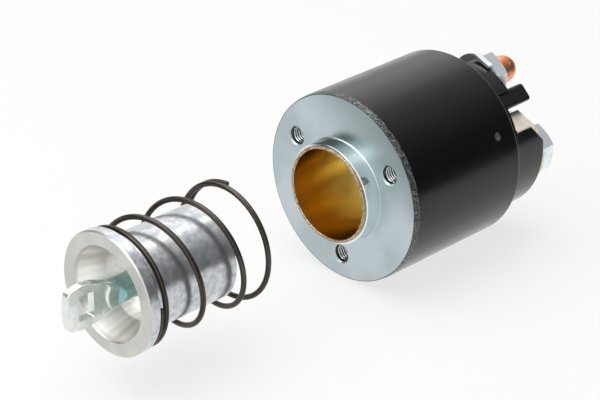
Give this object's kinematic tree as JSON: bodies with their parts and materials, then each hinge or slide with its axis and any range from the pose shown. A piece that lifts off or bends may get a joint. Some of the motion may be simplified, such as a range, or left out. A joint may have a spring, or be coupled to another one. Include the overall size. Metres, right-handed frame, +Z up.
{
  "type": "starter solenoid",
  "caption": "Starter solenoid: round steel case with a tapped front plate, brass-sleeved bore, moulded terminal cap with studs, and a flanged plunger with a pull hook and coil spring.",
  "frame": {"origin": "centre of the front plate's mounting face, on the axis of the bore", "axes": "+X along the bore towards the terminals, with the plunger drawn out on the -X side; +Z up, with one of the three tapped holes straight below the bore"},
  "size_m": [0.1612, 0.054, 0.054],
  "materials": {
    "black_paint": "satin",
    "zinc_plate": "satin",
    "brass": "polished",
    "bobbin_nylon": "satin",
    "enamelled_copper": "satin",
    "turned_steel": "satin",
    "phenolic": "gloss",
    "seal_rubber": "matte",
    "copper": "satin",
    "tinned_copper": "satin",
    "spring_steel": "satin"
  },
  "bodies": {
    "housing": {"case": "black_paint", "front_plate": "zinc_plate", "plunger_sleeve": "brass", "bobbin": "bobbin_nylon", "pull_in_winding": "enamelled_copper", "hold_in_winding": "enamelled_copper", "fixed_core": "turned_steel", "core_plate": "turned_steel", "terminal_cap": "phenolic", "cap_seal": "seal_rubber", "battery_stud": "copper", "motor_stud": "copper", "battery_washer": "zinc_plate", "battery_nut": "zinc_plate", "motor_nut": "zinc_plate", "motor_strap": "tinned_copper", "blade_terminal": "tinned_copper", "blade_rivet": "brass", "rod_return_spring": "spring_steel"},
    "plunger": {"plunger": "zinc_plate", "plunger_plug": "zinc_plate", "return_spring": "spring_steel", "meshing_spring": "spring_steel"},
    "hook": {"pull_hook": "zinc_plate", "spring_seat": "turned_steel"},
    "contacts": {"contact_rod": "turned_steel", "contact_disc": "copper", "front_bush": "bobbin_nylon", "rear_bush": "bobbin_nylon", "rod_clip": "spring_steel", "contact_spring": "spring_steel"}
  },
  "joints": [
    {"name": "plunger_slide", "type": "slide", "parent": "housing", "child": "plunger", "axis": [1, 0, 0], "range_m": [0, 0.0686], "deforming": ["return_spring"]},
    {"name": "hook_slide", "type": "slide", "parent": "plunger", "child": "hook", "axis": [-1, 0, 0], "range_m": [0, 0.004], "stiffness_N_per_m": 4000, "deforming": ["meshing_spring"]},
    {"name": "contact_slide", "type": "slide", "parent": "housing", "child": "contacts", "axis": [1, 0, 0], "range_m": [0, 0.003], "stiffness_N_per_m": 1500, "deforming": ["rod_return_spring"]}
  ]
}
